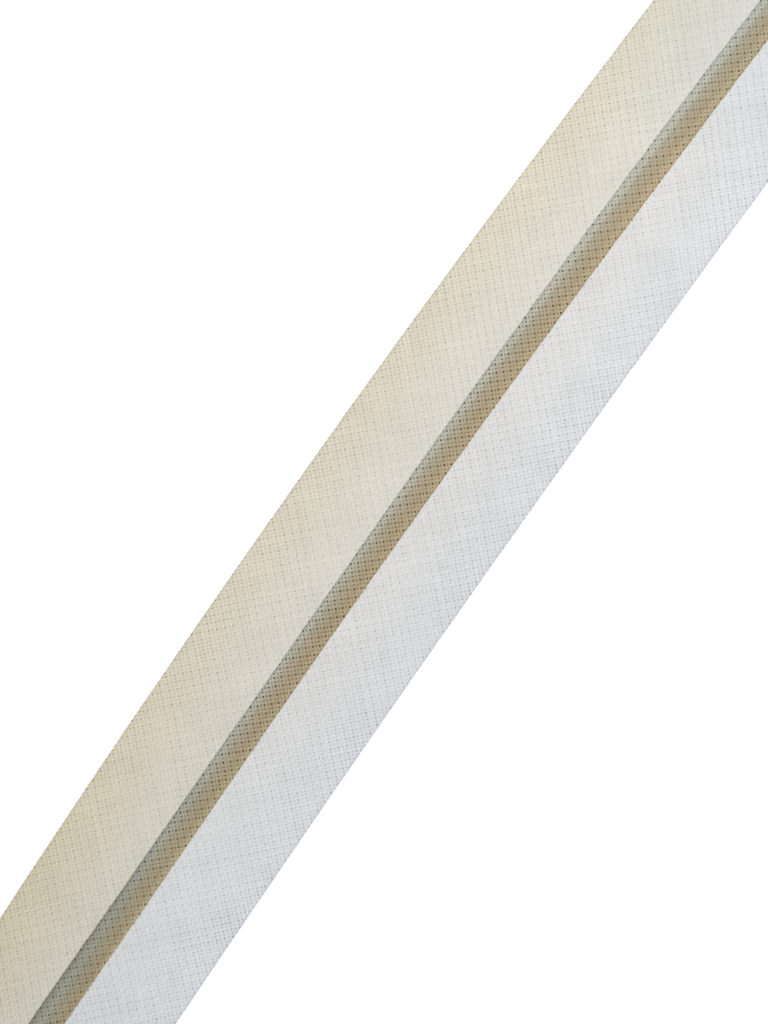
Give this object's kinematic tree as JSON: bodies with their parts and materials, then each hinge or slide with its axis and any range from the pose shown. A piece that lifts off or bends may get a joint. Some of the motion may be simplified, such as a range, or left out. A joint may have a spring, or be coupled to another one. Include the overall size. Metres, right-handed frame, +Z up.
{
  "type": "folded bias tape",
  "caption": "Flat length of single-fold bias tape in off-white cotton, its long edges pressed in with a narrow channel between them.",
  "frame": {"origin": "middle of the tape's box, at the level of the surface it lies on", "axes": "+X along the tape, +Y across it towards the flange whose raw edge lifts more at the -X end, +Z up out of the folds"},
  "size_m": [0.1408, 0.0212, 0.0035],
  "materials": {
    "cotton": "matt off-white plain-woven cotton, cut on the bias and pressed"
  },
  "bodies": {
    "root": {"tape": "cotton"}
  },
  "joints": []
}
